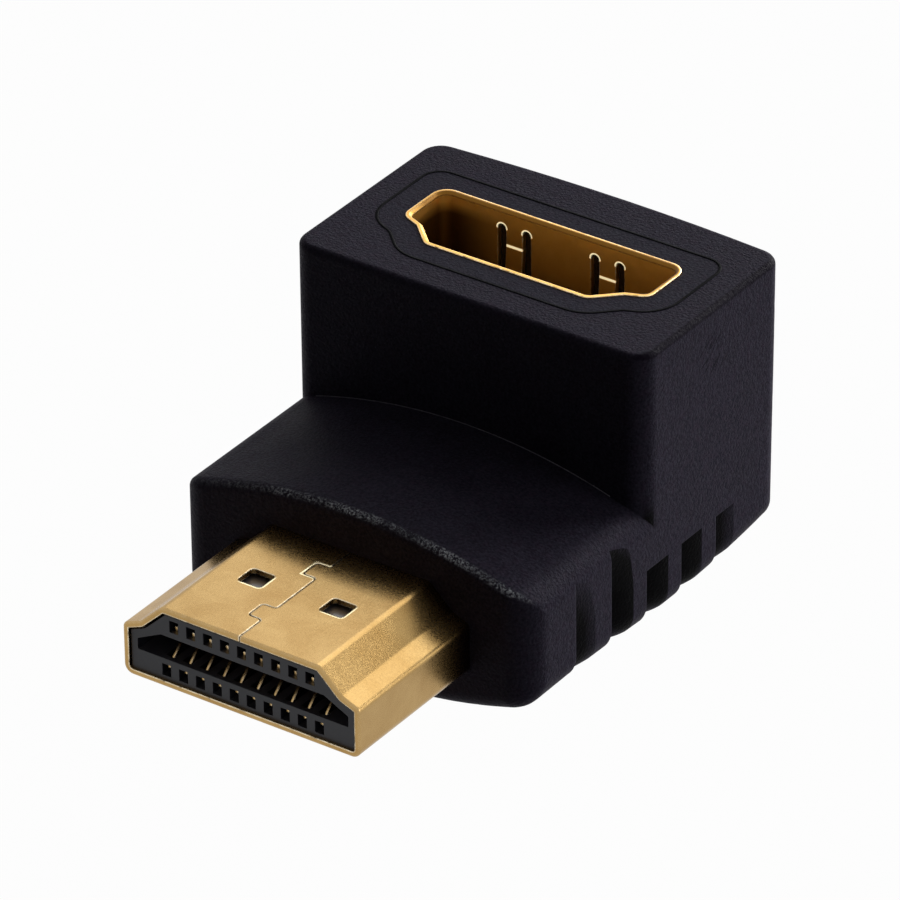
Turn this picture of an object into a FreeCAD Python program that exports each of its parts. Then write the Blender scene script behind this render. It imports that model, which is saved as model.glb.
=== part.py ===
"""Right angle audio and video adapter: a flat plug at the front and a socket in the top, at 90 degrees.

Lengths are in millimetres. Places are first worked out from the plug: X across it, Y back from its
tip and Z up from its underside. The finished pieces are then moved together, so that the origin is
the middle of the part's footprint at its lowest point. The plug points to -Y and the socket to +Z.
"""
import FreeCAD
import Part
import math
import os

Vector = FreeCAD.Vector

# Contacts, in two rows half a pitch apart
contact_pitch = 1.0
wide_row_count = 10
narrow_row_count = 9
contact_width = 0.3
contact_thickness = 0.16
contact_bend_radius = 0.3
contact_end_from_tip = 0.36
contact_end_lift = 0.06
contact_bend_behind_wall = 0.15
contact_bump_from_tip = 1.4
contact_bump_gap = 0.5
contact_spring_end = 5.4
pad_length = 1.6

# Plug mouth, a flat outline with two bevelled corners
plug_height = 4.45
wide_end_margin = 2.45
narrow_end_margin = 0.65
shoulder_step = 1.0
shoulder_drop = 1.25
bevel_drop = 1.65
wide_corner_radius = 0.5
side_corner_radius = 0.32
shoulder_radius = 0.5
narrow_corner_radius = 0.42
smallest_radius = 0.05

# Plug shell, folded from plated sheet
sheet = 0.3
plug_exposed = 9.1
shell_hold = 3.15
shell_lip_radius = 0.1
window_across = 1.4
window_along = 1.35
window_offset = 2.4
window_from_tip = 4.7
window_corner_radius = 0.22
seam_gap = 0.06
seam_tab_reach = 0.8
seam_tab_length = 1.18
seam_tab_first = 1.83
seam_tab_spacing = 4.45
seam_tab_count = 2
seam_tab_radius = 0.2

# Plug insulator
insulator_recess = 0.15
insulator_clearance = 0.08
insulator_setback = 1.0
slot_side_wall = 0.37
slot_bevel = 1.4
slot_height = 1.3
slot_side_height = 0.6
slot_depth = 6.6
slot_corner_radius = 0.06
front_wall = 0.3
hole_width = 0.53
hole_height = 0.66
hole_wall = 0.225

# Circuit board
board_thickness = 0.8
board_gap = 0.1
board_behind_socket = 1.7

# Socket at the top of the upright arm
socket_from_tip = 24.85
socket_clearance = 0.05
socket_floor_gap = 0.45
socket_rim_proud = 0.05
mouth_chamfer = 0.12
finger_width = 0.98
finger_slot = 0.5
finger_offset = 2.77
finger_root_depth = 0.75
finger_bend_depth = 1.9
finger_bump_depth = 4.5
finger_end_depth = 5.5
finger_bump = 0.2
finger_end_inset = 0.06
tongue_recess = 4.2
tongue_play = 0.3
tongue_corner_radius = 0.08
tongue_base_height = 1.3
relief_margin = 0.5
relief_height = 0.25
socket_contact_inset = 0.5
socket_contact_proud = 0.03
socket_foot_reach = 3.2
leg_width = 0.6
leg_inset = 0.65
leg_drop = 0.6
leg_clearance = 0.1

# Inner mould round the board, with a collar that frames the socket
collar_wall = 1.42
collar_corner_radius = 1.05
collar_edge_chamfer = 0.07
mould_cover = 0.3
mould_side_wall = 0.8
mould_back_wall = 0.5
mould_cavity_gap = 0.8

# Outer overmould
overmould_side_wall = 1.62
overmould_front_wall = 1.9
arm_top = 13.8
arm_side_wall = 1.7
arm_front_wall = 2.01
arm_back_wall = 2.31
back_crown = 0.45
block_above_plug = 2.35
block_below_plug = 3.18
crown_radius = 30.0
flank_radius = 1.6
front_corner_radius = 1.6
back_corner_radius = 1.6
arm_corner_radius = 1.15
front_rim_radius = 0.5
lower_rim_radius = 0.95

# Underside, which is lowest below the arm's front and rises a little towards both ends
lowest_from_tip = 21.5
rise_in_front = 0.26
front_rise_length = 7.5
rise_at_back = 0.8
underside_sections = 9
arm_edge_radius = 0.35

# Grip notches in both sides
notch_depths = (0.35, 1.0, 0.95, 0.65, 0.3)
notch_first = 13.08
notch_pitch = 3.05
notch_length = 2.3
notch_run_out = 0.03
notch_reach = 6.2
notch_sections = 5
tall_notch_top = 5.2
tall_notch_fade = 1.5
tall_fade_radius = 3.0
short_notch_top = 1.8

# How far a cutting shape runs past what it cuts, and how near two places count as one
overcut = 0.5
same_place = 1e-6

# Outline of the mouth, worked out from the rows of contacts
plug_width = (wide_row_count - 1) * contact_pitch + 2 * wide_end_margin
plug_narrow_width = (narrow_row_count - 1) * contact_pitch + 2 * narrow_end_margin
plug_shoulder_width = plug_width - 2 * shoulder_step
plug_shoulder_height = plug_height - shoulder_drop
plug_side_height = plug_height - bevel_drop
plug_shell_length = plug_exposed + shell_hold

# Insulator and its rows
insulator_length = plug_shell_length - insulator_setback
insulator_height = plug_height - 2 * sheet - 2 * insulator_clearance
contact_mid = sheet + insulator_height / 2
row_offset = insulator_height / 2 - hole_wall - hole_height / 2
slot_width = plug_width - 2 * (sheet + insulator_clearance + slot_side_wall)
slot_narrow_width = slot_width - 2 * slot_bevel

# Socket and its tongue, which fits a slot like the plug's
socket_offset = socket_clearance + sheet
collar_offset = socket_offset + collar_wall
tongue_thickness = slot_height - tongue_play
tongue_side_height = slot_side_height - tongue_play / 2
tongue_width = slot_width - 2 * tongue_play
tongue_narrow_width = slot_narrow_width - 2 * tongue_play
tongue_top = arm_top - tongue_recess
rim_top = arm_top + socket_rim_proud

# Body round the socket and the plug
half_width = plug_width / 2 + collar_offset + arm_side_wall
arm_front = socket_from_tip - plug_height / 2 - collar_offset - arm_front_wall
arm_back = socket_from_tip + plug_height / 2 + collar_offset + arm_back_wall
overall_depth = arm_back + back_crown
block_top = plug_height + block_above_plug
block_bottom = -block_below_plug
block_mid_height = (block_top + block_bottom) / 2
block_half_height = (block_top - block_bottom) / 2
flank_centre = half_width - flank_radius
crown_to_flank = math.sqrt((crown_radius - flank_radius) ** 2 - flank_centre ** 2)
crown_way = Vector(flank_centre, 0, crown_to_flank).normalize()
flank_rise = block_half_height - crown_radius + crown_to_flank

# Inner mould and the board in it
mould_half_width = half_width - overmould_side_wall
mould_front = plug_exposed + overmould_front_wall
mould_bottom = -mould_cover
mould_top = plug_height + mould_cover
board_half_width = mould_half_width - mould_side_wall
board_front = plug_shell_length + board_gap
board_back = socket_from_tip + plug_height / 2 + socket_offset + board_behind_socket
board_top = contact_mid + board_thickness / 2
board_bottom = contact_mid - board_thickness / 2
mould_back = board_back + mould_back_wall
socket_bottom = board_top + socket_floor_gap

# Where the finished pieces move to
footprint_shift = Vector(0, -overall_depth / 2, -block_bottom)


def round_corners(points, radii, to_space):
    """Closed wire through flat points, each corner rounded by its own radius."""
    count = len(points)
    arcs = []
    for i in range(count):
        corner = Vector(*points[i], 0)
        back = (Vector(*points[i - 1], 0) - corner).normalize()
        ahead = (Vector(*points[(i + 1) % count], 0) - corner).normalize()
        half_angle = back.getAngle(ahead) / 2
        reach = radii[i] / math.tan(half_angle)
        middle = (back + ahead).normalize() * (radii[i] / math.sin(half_angle) - radii[i])
        arcs.append((corner + back * reach, corner + middle, corner + ahead * reach))
    edges = []
    for i in range(count):
        start, middle, end = [to_space(p.x, p.y) for p in arcs[i]]
        following = to_space(arcs[(i + 1) % count][0].x, arcs[(i + 1) % count][0].y)
        edges.append(Part.Arc(start, middle, end).toShape())
        if (following - end).Length > same_place:
            edges.append(Part.LineSegment(end, following).toShape())
    return Part.Wire(edges)


def shift_line(start, end, distance):
    """Straight run moved to its left by a distance, as a point and a direction."""
    along = (Vector(*end, 0) - Vector(*start, 0)).normalize()
    left = Vector(-along.y, along.x, 0)
    return Vector(*start, 0) + left * distance, along


def turn_between(line_a, line_b):
    """How far one line turns to the left into the next: the sine of the angle."""
    return line_a[1].x * line_b[1].y - line_a[1].y * line_b[1].x


def meet(line_a, line_b):
    """Point where two lines cross."""
    gap = line_b[0] - line_a[0]
    step = (gap.x * line_b[1].y - gap.y * line_b[1].x) / turn_between(line_a, line_b)
    meeting = line_a[0] + line_a[1] * step
    return (meeting.x, meeting.y)


def inset(points, distance):
    """Anticlockwise outline moved inwards by a distance, or outwards where it is negative."""
    count = len(points)
    lines = [shift_line(points[i], points[(i + 1) % count], distance) for i in range(count)]
    return [meet(lines[i - 1], lines[i]) for i in range(count)]


def mouth_wire(offset, to_space, wide_radius=None):
    """Plug's outline, wide side down, moved outwards by an offset and with its corners rounded to suit."""
    right = [(plug_width / 2, 0), (plug_width / 2, plug_side_height),
             (plug_shoulder_width / 2, plug_shoulder_height), (plug_narrow_width / 2, plug_height)]
    left = [(-x, z) for x, z in reversed(right)]
    radii = [max(radius, smallest_radius) for radius in
             (wide_radius or wide_corner_radius + offset, side_corner_radius + offset,
              shoulder_radius - offset, narrow_corner_radius + offset)]
    return round_corners(inset(right + left, -offset), radii + radii[::-1], to_space)


def plug_prism(offset, start, end, drop=0.0):
    """Solid of the plug's outline, from one distance behind its tip to another."""
    wire = mouth_wire(offset, lambda x, z: Vector(x, start, z - drop))
    return Part.Face(wire).extrude(Vector(0, end - start, 0))


def socket_plane(height):
    """Turns the plug's outline flat at a height, with its wide side at the back."""
    wide_side = socket_from_tip + plug_height / 2
    return lambda x, z: Vector(x, wide_side - z, height)


def socket_prism(offset, bottom, top, wide_radius=None):
    """Solid of the socket's outline between two heights."""
    wire = mouth_wire(offset, socket_plane(bottom), wide_radius)
    return Part.Face(wire).extrude(Vector(0, 0, top - bottom))


def box(low, high):
    """Box between two corners."""
    return Part.makeBox(high[0] - low[0], high[1] - low[1], high[2] - low[2], Vector(*low))


def row_places(count):
    """Places of one row's contacts across the connector."""
    return [(i - (count - 1) / 2) * contact_pitch for i in range(count)]


def ribbon_wire(path, thickness, bend_radius, to_space):
    """Closed outline of a ribbon along a path of flat points, with round bends and slightly rounded ends."""
    end_radius = thickness / 4
    points = []
    radii = []
    for side in (-thickness / 2, thickness / 2):
        lines = [shift_line(path[i], path[i + 1], side) for i in range(len(path) - 1)]
        last, _ = shift_line(path[-1], path[-2], -side)
        bends = [meet(lines[i], lines[i + 1]) for i in range(len(lines) - 1)]
        turns = [turn_between(lines[i], lines[i + 1]) for i in range(len(lines) - 1)]
        step = 1 if side < 0 else -1
        points += ([(lines[0][0].x, lines[0][0].y)] + bends + [(last.x, last.y)])[::step]
        bend_radii = [bend_radius - side if turn > 0 else bend_radius + side for turn in turns]
        radii += ([end_radius] + bend_radii + [end_radius])[::step]
    return round_corners(points, radii, to_space)


def strip(path, x, width, thickness, bend_radius):
    """Flat strip bent along a path of (y, z) points."""
    wire = ribbon_wire(path, thickness, bend_radius, lambda y, z: Vector(x - width / 2, y, z))
    return Part.Face(wire).extrude(Vector(width, 0, 0))


def joined(shapes):
    """One shape out of several that touch or overlap."""
    return shapes[0].fuse(shapes[1:]).removeSplitter()


# The plug


def seam_cutter():
    """Fold seam along the middle of the shell's narrow side, with round-cornered locking tabs."""
    low = plug_height - sheet - overcut
    high = plug_height + overcut
    path = [(0, -overcut)]
    for i in range(seam_tab_count):
        start = seam_tab_first + i * seam_tab_spacing
        end = start + seam_tab_length
        path += [(0, start), (-seam_tab_reach, start), (-seam_tab_reach, end), (0, end)]
    path.append((0, plug_shell_length + overcut))
    wire = ribbon_wire(path, seam_gap, seam_tab_radius, lambda px, py: Vector(px, py, low))
    return Part.Face(wire).extrude(Vector(0, 0, high - low))


def window_cutter(x):
    """Rounded window right through the shell, which a socket's spring drops into."""
    left = x - window_across / 2
    right = x + window_across / 2
    near = window_from_tip - window_along / 2
    far = window_from_tip + window_along / 2
    wire = round_corners([(left, near), (right, near), (right, far), (left, far)], [window_corner_radius] * 4,
                         lambda px, py: Vector(px, py, -overcut))
    return Part.Face(wire).extrude(Vector(0, 0, plug_height + 2 * overcut))


def make_plug_shell():
    outer = plug_prism(0.0, 0.0, plug_shell_length)
    lip = [edge for edge in outer.Edges if abs(edge.BoundBox.YMax) < same_place]
    shell = outer.makeFillet(shell_lip_radius, lip)
    cutters = [plug_prism(-sheet, -overcut, plug_shell_length + overcut), seam_cutter()]
    cutters += [window_cutter(x) for x in (-window_offset, window_offset)]
    return shell.cut(cutters)


def slot_cutter():
    """Slot for a tongue, bevelled at its narrow side."""
    low = contact_mid - slot_height / 2
    high = contact_mid + slot_height / 2
    side = low + slot_side_height
    points = [(-slot_width / 2, low), (slot_width / 2, low), (slot_width / 2, side),
              (slot_narrow_width / 2, high), (-slot_narrow_width / 2, high), (-slot_width / 2, side)]
    wire = round_corners(points, [slot_corner_radius] * len(points), lambda x, z: Vector(x, 0, z))
    return Part.Face(wire).extrude(Vector(0, insulator_recess + slot_depth, 0))


def plug_rows():
    """Each row of the plug as its places across and its side: 1 on the narrow side, -1 on the wide one."""
    return [(row_places(wide_row_count), -1), (row_places(narrow_row_count), 1)]


def channel_cutters():
    """Square holes through the insulator's face, and the channels behind them that open into the slot."""
    cutters = []
    for places, side in plug_rows():
        outer = contact_mid + side * (row_offset + hole_height / 2)
        inner = contact_mid + side * (row_offset - hole_height / 2)
        for x in places:
            left = x - hole_width / 2
            right = x + hole_width / 2
            cutters.append(box((left, 0, min(outer, inner)),
                               (right, insulator_length + overcut, max(outer, inner))))
            cutters.append(box((left, insulator_recess + front_wall, min(outer, contact_mid)),
                               (right, insulator_recess + slot_depth, max(outer, contact_mid))))
    return cutters


def make_plug_insulator():
    body = plug_prism(-sheet - insulator_clearance, insulator_recess, insulator_length, insulator_clearance)
    return body.cut([slot_cutter()] + channel_cutters())


def plug_contact(x, side):
    """Spring strip: an end behind the face, a bump in the slot, a straight run and a tail on the board."""
    half = contact_thickness / 2
    end_z = contact_mid + side * (row_offset - hole_height / 2 + contact_end_lift + half)
    bump_z = contact_mid + side * (contact_bump_gap / 2 + half)
    rest_z = contact_mid + side * (row_offset + hole_height / 2 - half)
    pad_z = contact_mid + side * (board_thickness / 2 + half)
    path = [(contact_end_from_tip, end_z),
            (insulator_recess + front_wall + contact_bend_behind_wall, end_z),
            (contact_bump_from_tip, bump_z),
            (contact_spring_end, rest_z),
            (insulator_length, rest_z),
            (board_front - pad_length / 3, pad_z),
            (board_front + pad_length, pad_z)]
    return strip(path, x, contact_width, contact_thickness, contact_bend_radius)


# The circuit board


def leg_centres():
    """Centres of the socket's four legs, at both ends of its upright sides."""
    x = plug_width / 2 + socket_clearance + sheet / 2
    back = socket_from_tip + plug_height / 2
    places = (back - wide_corner_radius - leg_width / 2, back - plug_side_height + leg_inset)
    return [(side * x, y) for side in (-1, 1) for y in places]


def leg_box(x, y, clearance, bottom, top):
    """Flat leg, or the hole for it where a clearance is given."""
    across = sheet / 2 + clearance
    along = leg_width / 2 + clearance
    return box((x - across, y - along, bottom), (x + across, y + along, top))


def make_circuit_board():
    board = box((-board_half_width, board_front, board_bottom), (board_half_width, board_back, board_top))
    return board.cut([leg_box(x, y, leg_clearance, board_bottom - overcut, board_top + overcut)
                      for x, y in leg_centres()])


# The socket


def finger_window(x, inner, outwards):
    """Opening round one spring finger, with round upper ends to its two slots."""
    half = finger_width / 2 + finger_slot
    low = arm_top - finger_end_depth - finger_slot
    slot_end = arm_top - finger_root_depth - finger_slot / 2
    near, far = sorted((inner - outwards * overcut, inner + outwards * (sheet + overcut)))
    pieces = [box((x - half, near, low), (x + half, far, slot_end))]
    for side in (-1, 1):
        centre = Vector(x + side * (finger_width + finger_slot) / 2, near, slot_end)
        pieces.append(Part.makeCylinder(finger_slot / 2, far - near, centre, Vector(0, 1, 0)))
    return joined(pieces)


def spring_finger(x, inner, outwards):
    """Finger that hangs from the wall, bends into the socket and turns back at its tip."""
    centre = inner + outwards * sheet / 2
    path = [(centre, arm_top - finger_root_depth),
            (centre, arm_top - finger_bend_depth),
            (centre - outwards * finger_bump, arm_top - finger_bump_depth),
            (centre - outwards * finger_end_inset, arm_top - finger_end_depth)]
    return strip(path, x, finger_width, sheet, sheet)


def finger_places():
    """Each finger's place across, the inner face of its wall and the way out of the socket."""
    half_height = plug_height / 2 + socket_clearance
    return [(x, socket_from_tip + outwards * half_height, outwards)
            for outwards in (-1, 1) for x in (-finger_offset, finger_offset)]


def make_socket_shell():
    shell = socket_prism(socket_offset, socket_bottom, rim_top)
    mouth = Part.makeLoft([mouth_wire(socket_clearance, socket_plane(rim_top - mouth_chamfer)),
                           mouth_wire(socket_clearance + mouth_chamfer, socket_plane(rim_top))], True, True)
    shell = shell.cut([socket_prism(socket_clearance, socket_bottom - overcut, rim_top + overcut), mouth])
    shell = shell.cut([finger_window(*place) for place in finger_places()])
    legs = [leg_box(x, y, 0.0, board_bottom - leg_drop, socket_bottom + overcut) for x, y in leg_centres()]
    return joined([shell] + [spring_finger(*place) for place in finger_places()] + legs)


def socket_contact(x, side):
    """Strip that lies on the tongue, runs down through its base and turns out along the board."""
    face = socket_from_tip + side * (tongue_thickness / 2 + socket_contact_proud - contact_thickness / 2)
    foot_z = board_top + contact_thickness / 2
    path = [(face, tongue_top - socket_contact_inset),
            (face, foot_z),
            (socket_from_tip + side * socket_foot_reach, foot_z)]
    return strip(path, x, contact_width, contact_thickness, contact_bend_radius)


def socket_rows():
    """Each row of the socket as its places across and its side: 1 at the back, where the wide side is."""
    return [(row_places(wide_row_count), 1), (row_places(narrow_row_count), -1)]


def make_socket_insulator(contacts):
    """Base that stands on the board over the contacts' feet, and the tongue on it."""
    base_top = socket_bottom + tongue_base_height
    relief_half = (wide_row_count - 1) * contact_pitch / 2 + contact_width / 2 + relief_margin
    relief = box((-relief_half, socket_from_tip - plug_height, board_top),
                 (relief_half, socket_from_tip + plug_height, board_top + relief_height))
    back = socket_from_tip + tongue_thickness / 2
    front = socket_from_tip - tongue_thickness / 2
    side = back - tongue_side_height
    points = [(-tongue_width / 2, side), (-tongue_narrow_width / 2, front), (tongue_narrow_width / 2, front),
              (tongue_width / 2, side), (tongue_width / 2, back), (-tongue_width / 2, back)]
    wire = round_corners(points, [tongue_corner_radius] * len(points),
                         lambda x, y: Vector(x, y, base_top - overcut))
    tongue = Part.Face(wire).extrude(Vector(0, 0, tongue_top - base_top + overcut))
    base = socket_prism(0.0, board_top, base_top).cut(relief)
    return joined([base, tongue]).cut(contacts)


# The inner mould and the overmould


def mould_envelope(top):
    """Outer form of the inner mould, with its collar up to a height."""
    block = box((-mould_half_width, mould_front, mould_bottom), (mould_half_width, mould_back, mould_top))
    return joined([block, socket_prism(collar_offset, mould_bottom + overcut, top, collar_corner_radius)])


def make_inner_mould():
    mould = mould_envelope(arm_top)
    rim = [edge for edge in mould.Edges if edge.BoundBox.ZMin > arm_top - same_place]
    mould = mould.makeChamfer(collar_edge_chamfer, rim)
    cavity = box((-board_half_width, plug_shell_length, board_bottom - mould_cavity_gap),
                 (board_half_width, board_back, board_top + mould_cavity_gap))
    plug_hole = plug_prism(0.0, mould_front - overcut, plug_shell_length)
    socket_hole = socket_prism(socket_offset, board_top, arm_top + overcut)
    return mould.cut([cavity, plug_hole, socket_hole])


def uprights(shape, y):
    """Upright edges of a shape at a distance behind the plug's tip."""
    return [edge for edge in shape.Edges
            if edge.BoundBox.ZLength > block_half_height and edge.BoundBox.XLength < same_place
            and abs(edge.BoundBox.YMin - y) < same_place]


def rims(block, front, back, low, high):
    """Edges that run across the block, within a stretch of its length and of its height."""
    return [edge for edge in block.Edges if edge.BoundBox.XLength > same_place
            and front < edge.BoundBox.YMin and edge.BoundBox.YMax < back
            and low < edge.BoundBox.ZMin and edge.BoundBox.ZMax < high]


def plan_prism():
    """Upright solid of the body's plan, up to the arm's top. Its back corners tighten upwards."""
    low = block_bottom - overcut
    corners = [Vector(-half_width, arm_back, low), Vector(-half_width, plug_exposed, low),
               Vector(half_width, plug_exposed, low), Vector(half_width, arm_back, low)]
    edges = [Part.LineSegment(corners[i], corners[i + 1]).toShape() for i in range(3)]
    edges.append(Part.Arc(corners[3], Vector(0, arm_back + back_crown, low), corners[0]).toShape())
    prism = Part.Face(Part.Wire(edges)).extrude(Vector(0, 0, arm_top - low))
    prism = prism.makeFillet(front_corner_radius, uprights(prism, plug_exposed))
    return prism.makeFillet(back_corner_radius, arm_corner_radius, uprights(prism, arm_back))


def underside_rise(y):
    """How far the underside is above its lowest place, at y."""
    if y < lowest_from_tip:
        share = min((lowest_from_tip - y) / front_rise_length, 1)
        return rise_in_front * (1 - math.cos(math.pi * share)) / 2
    return rise_at_back * ((y - lowest_from_tip) / (overall_depth - lowest_from_tip)) ** 2


def crown_section(y, rise=0.0):
    """Outline of the front block at y: crowned top and bottom, upright sides and round flanks."""
    centre = Vector(flank_centre, 0, flank_rise)
    middle_way = (crown_way + Vector(1, 0, 0)).normalize()
    right = [Vector(half_width, 0, flank_rise), centre + middle_way * flank_radius,
             centre + crown_way * flank_radius]
    left = [Vector(-point.x, 0, point.z) for point in reversed(right)]
    points = right + [Vector(0, 0, block_half_height)] + left
    edges = []
    for up in (1, -1):
        middle = block_mid_height + (rise if up < 0 else 0)
        placed = [Vector(up * point.x, y, middle + up * point.z) for point in points]
        edges += [Part.Arc(*placed[i:i + 3]).toShape() for i in (0, 2, 4)]
        across_middle = block_mid_height + (rise if up > 0 else 0)
        side_end = Vector(placed[-1].x, y, across_middle - up * flank_rise)
        edges.append(Part.LineSegment(placed[-1], side_end).toShape())
    return Part.Wire(edges)


def make_front_block(plan):
    """Crowned block that runs under the whole body, with a fine rim at its front and softer ones below."""
    start, end = plug_exposed - overcut, overall_depth + overcut
    upper = Part.Face(crown_section(start)).extrude(Vector(0, end - start, 0))
    places = [start + (end - start) * i / (underside_sections - 1) for i in range(underside_sections)]
    lower = Part.makeLoft([crown_section(y, underside_rise(y)) for y in places], True)
    below = box((-half_width - overcut, start, block_bottom - overcut),
                (half_width + overcut, end, block_mid_height))
    block = joined([upper.cut(below), lower.common(below)]).common(plan)
    front = (plug_exposed - overcut, plug_exposed + front_corner_radius + overcut)
    back = (arm_back - back_corner_radius - overcut, overall_depth + overcut)
    block = block.makeFillet(front_rim_radius, rims(block, *front, block_mid_height, block_top))
    block = block.makeFillet(lower_rim_radius, rims(block, *front, block_bottom - overcut, block_mid_height))
    return block.makeFillet(lower_rim_radius, rims(block, *back, block_bottom - overcut, block_mid_height))


def make_arm(plan):
    """Upright arm on the rear of the block, with a finely rounded top rim."""
    arm = plan.common(box((-half_width - overcut, arm_front, block_mid_height),
                          (half_width + overcut, overall_depth + overcut, arm_top)))
    arm = arm.makeFillet(arm_corner_radius, uprights(arm, arm_front))
    rim = [edge for edge in arm.Edges if edge.BoundBox.ZMin > arm_top - same_place]
    return arm.makeFillet(arm_edge_radius, rim)


def notch_ramp(start, depth, fades):
    """What is left of the body inside a notch: deepest at its front edge, and curved out to the side.

    The flanks keep their radius and run on straight, so that a notch fades out in the crown. One that
    fades gets shallower towards its top as well.
    """
    shoulder = flank_rise + flank_radius * (1 - crown_way.x) / crown_way.z
    tip = block_half_height + overcut
    sections = []
    for i in range(notch_sections):
        share = i / (notch_sections - 1)
        y = start + share * notch_length
        rise = underside_rise(y)
        side = half_width - (depth + notch_run_out) * (1 - share) ** 2 + notch_run_out
        across = side - (tip - shoulder) * crown_way.z / crown_way.x
        right = [(across, rise - tip), (side, rise - shoulder), (side, shoulder), (across, tip)]
        radii = [smallest_radius, flank_radius, flank_radius, smallest_radius]
        if fades:
            right[2:] = [(side, tall_notch_fade - block_mid_height),
                         (half_width + 2 * notch_run_out, tall_notch_top - block_mid_height)]
            radii[2] = tall_fade_radius
        left = [(-px, pz) for px, pz in reversed(right)]
        sections.append(round_corners(right + left, radii + radii[::-1],
                                      lambda px, pz: Vector(px, y, block_mid_height + pz)))
    return Part.makeLoft(sections, True)


def notch_cutters():
    """Grip notches that wrap round the lower flanks. Those ahead of the arm are taller and fade out."""
    cutters = []
    for i, depth in enumerate(notch_depths):
        start = notch_first + i * notch_pitch
        end = start + notch_length
        fades = end < arm_front
        top = tall_notch_top if fades else short_notch_top
        ramp = notch_ramp(start, depth, fades)
        for side in (-1, 1):
            inner, outer = sorted((side * (half_width - notch_reach), side * (half_width + overcut)))
            slab = box((inner, start, block_bottom - overcut), (outer, end, top))
            cutters.append(slab.cut(ramp))
    return cutters


def make_overmould():
    plan = plan_prism()
    body = joined([make_front_block(plan), make_arm(plan)])
    plug_hole = plug_prism(0.0, plug_exposed - overcut, mould_front + overcut)
    return body.cut(notch_cutters()).cut([plug_hole, mould_envelope(arm_top + overcut)])


def save(name, shape):
    """Writes one piece in its final place."""
    moved = shape.copy()
    moved.translate(footprint_shift)
    moved.exportStep("parts/" + name + ".step")
    print(name, "solids", len(moved.Solids), "volume", round(moved.Volume, 3), "valid", moved.isValid())


def main():
    os.makedirs("parts", exist_ok=True)
    save("overmould", make_overmould())
    save("inner_mould", make_inner_mould())
    save("circuit_board", make_circuit_board())
    save("plug_shell", make_plug_shell())
    save("plug_insulator", make_plug_insulator())
    plug_places = [(x, side) for places, side in plug_rows() for x in places]
    for number, (x, side) in enumerate(plug_places, 1):
        save("plug_contact_%02d" % number, plug_contact(x, side))
    socket_places = [(x, side) for places, side in socket_rows() for x in places]
    contacts = [socket_contact(x, side) for x, side in socket_places]
    for number, contact in enumerate(contacts, 1):
        save("socket_contact_%02d" % number, contact)
    save("socket_insulator", make_socket_insulator(contacts))
    save("socket_shell", make_socket_shell())


main()
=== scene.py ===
# %% [markdown]
# A right angle adapter for audio and video leads. A flat gold plated plug points forward, a socket
# of the same outline opens in the top of an upright arm, and one black moulding joins the two.
# The solids are made beforehand, at their real size and in their places. This script gives them their
# finishes, adds what is too fine for the solids, and sets up a plain studio like the photograph's.

# %% Load the fixed pieces
import math

import bpy
from mathutils import Matrix, Vector


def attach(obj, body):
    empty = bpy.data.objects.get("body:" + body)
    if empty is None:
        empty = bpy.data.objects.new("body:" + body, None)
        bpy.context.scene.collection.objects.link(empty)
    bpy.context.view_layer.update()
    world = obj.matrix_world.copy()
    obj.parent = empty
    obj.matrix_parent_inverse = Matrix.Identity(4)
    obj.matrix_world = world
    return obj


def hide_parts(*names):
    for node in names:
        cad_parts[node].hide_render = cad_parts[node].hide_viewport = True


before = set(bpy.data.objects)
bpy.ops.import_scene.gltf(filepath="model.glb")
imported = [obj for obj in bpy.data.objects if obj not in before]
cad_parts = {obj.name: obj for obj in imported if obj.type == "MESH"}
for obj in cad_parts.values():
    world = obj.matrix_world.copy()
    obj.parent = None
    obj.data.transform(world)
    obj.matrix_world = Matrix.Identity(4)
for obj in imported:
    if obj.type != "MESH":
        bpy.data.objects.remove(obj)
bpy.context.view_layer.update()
mm = 0.001


def in_mm(corner):
    """A point in millimetres, rounded for printing."""
    return [round(value / mm, 2) for value in corner]


print("pieces", len(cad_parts))

# %% [markdown]
# The camera was worked out from the photograph: the straight edges of the plug and the arm give its
# direction, and the way they close up with depth gives its distance. The part is small, so the lens
# is long. The plug's tip is the point that all is measured from, and the camera aims a little to the
# right of it and above it. A camera looks along its own -Z, so its Z axis points back to the lens.

# %% Camera
azimuth = math.radians(35.23)
elevation = math.radians(31.15)
roll = math.radians(-0.65)
distance = 0.400
aim_across = 9.95 * mm
aim_upwards = 12.65 * mm
focal_length = 335.69
sensor_width = 36.0
plug_tip = Vector((0.0, -0.0158025, 0.00318))

back = Vector((math.sin(azimuth) * math.cos(elevation),
               -math.cos(azimuth) * math.cos(elevation),
               math.sin(elevation)))
level = Vector((math.cos(azimuth), math.sin(azimuth), 0.0))
upright = back.cross(level)
right = level * math.cos(roll) + upright * math.sin(roll)
up = upright * math.cos(roll) - level * math.sin(roll)
eye = plug_tip + right * aim_across + up * aim_upwards + back * distance

camera_data = bpy.data.cameras.new("camera")
camera_data.sensor_width = sensor_width
camera_data.lens = focal_length
camera = bpy.data.objects.new("camera", camera_data)
bpy.context.scene.collection.objects.link(camera)
camera.matrix_world = Matrix.Translation(eye) @ Matrix((right, up, back)).transposed().to_4x4()
bpy.context.scene.camera = camera
print("camera at, in mm", in_mm(eye))

# %% [markdown]
# Materials and Geometry Nodes are both trees of nodes, and the same short helpers serve for both. The
# first adds a node and fills or links its sockets. The others wrap what comes up again and again: a
# sum, a product of masks, a blend of colours, and a value stretched from one range to another.

# %% Helpers for node trees
def put(tree, kind, inputs=None, **settings):
    """Add a node, set its own settings, and fill or link its inputs."""
    made = tree.nodes.new(kind)
    made.location = (len(tree.nodes) % 8 * 200.0, len(tree.nodes) // 8 * -300.0)
    for name, value in settings.items():
        setattr(made, name, value)
    for name, value in (inputs or {}).items():
        if isinstance(value, bpy.types.NodeSocket):
            tree.links.new(value, made.inputs[name])
        else:
            made.inputs[name].default_value = value
    return made


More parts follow.
